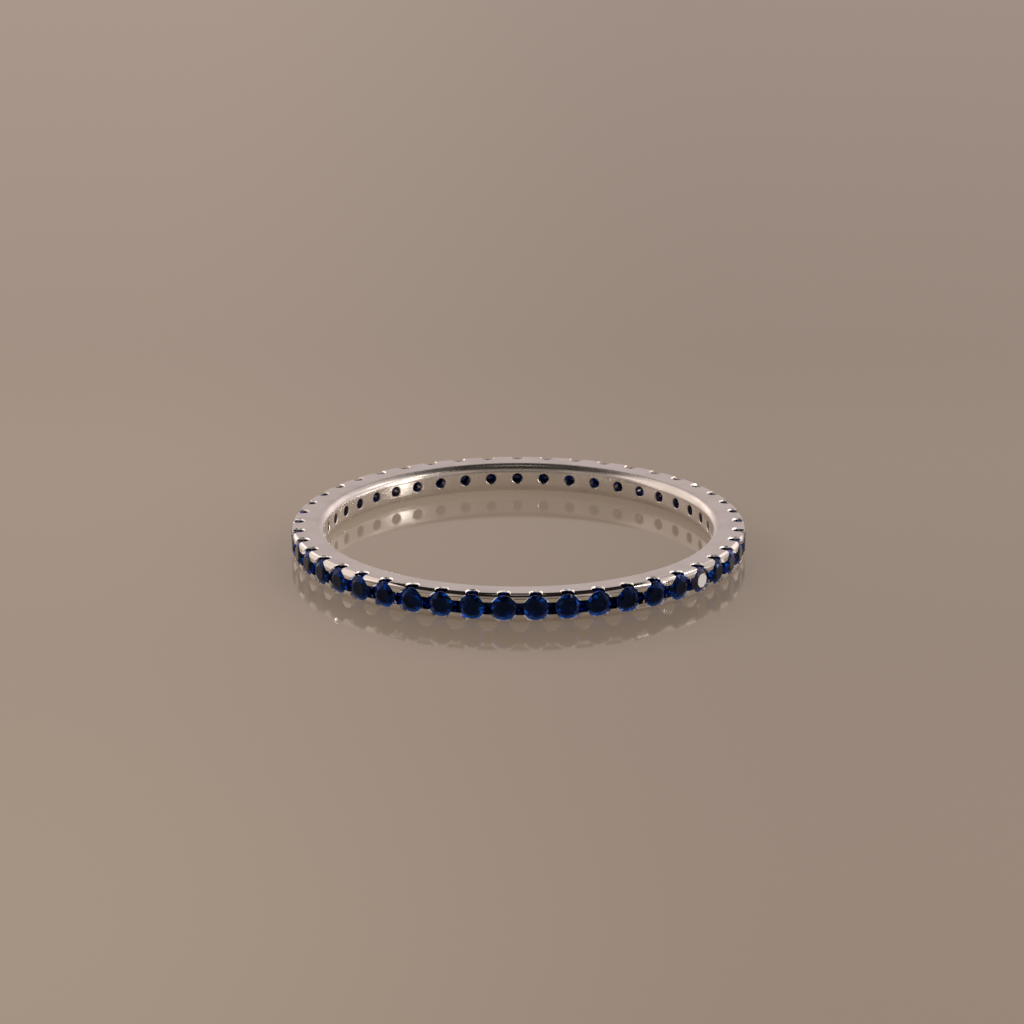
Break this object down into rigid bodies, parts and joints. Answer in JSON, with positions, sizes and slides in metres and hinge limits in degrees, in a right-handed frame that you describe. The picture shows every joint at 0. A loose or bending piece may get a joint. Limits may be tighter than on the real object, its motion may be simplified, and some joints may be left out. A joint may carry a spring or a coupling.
{
  "type": "eternity ring",
  "caption": "Slim full eternity ring: a polished band whose split shared prongs hold an unbroken row of round stones facing outward, lying on its flat side.",
  "frame": {"origin": "middle of the underside, on the finger's axis", "axes": "+Z along the finger, -Y towards the front of the view, the stones facing outward all round"},
  "size_m": [0.0198, 0.0198, 0.0013],
  "materials": {
    "silver": "polished",
    "blue_stone": "faceted"
  },
  "bodies": {
    "root": {"band": "silver", "stone_01": "blue_stone", "stone_02": "blue_stone", "stone_03": "blue_stone", "stone_04": "blue_stone", "stone_05": "blue_stone", "stone_06": "blue_stone", "stone_07": "blue_stone", "stone_08": "blue_stone", "stone_09": "blue_stone", "stone_10": "blue_stone", "stone_11": "blue_stone", "stone_12": "blue_stone", "stone_13": "blue_stone", "stone_14": "blue_stone", "stone_15": "blue_stone", "stone_16": "blue_stone", "stone_17": "blue_stone", "stone_18": "blue_stone", "stone_19": "blue_stone", "stone_20": "blue_stone", "stone_21": "blue_stone", "stone_22": "blue_stone", "stone_23": "blue_stone", "stone_24": "blue_stone", "stone_25": "blue_stone", "stone_26": "blue_stone", "stone_27": "blue_stone", "stone_28": "blue_stone", "stone_29": "blue_stone", "stone_30": "blue_stone", "stone_31": "blue_stone", "stone_32": "blue_stone", "stone_33": "blue_stone", "stone_34": "blue_stone", "stone_35": "blue_stone", "stone_36": "blue_stone", "stone_37": "blue_stone", "stone_38": "blue_stone", "stone_39": "blue_stone", "stone_40": "blue_stone", "stone_41": "blue_stone", "stone_42": "blue_stone", "stone_43": "blue_stone", "stone_44": "blue_stone", "stone_45": "blue_stone"}
  },
  "joints": []
}
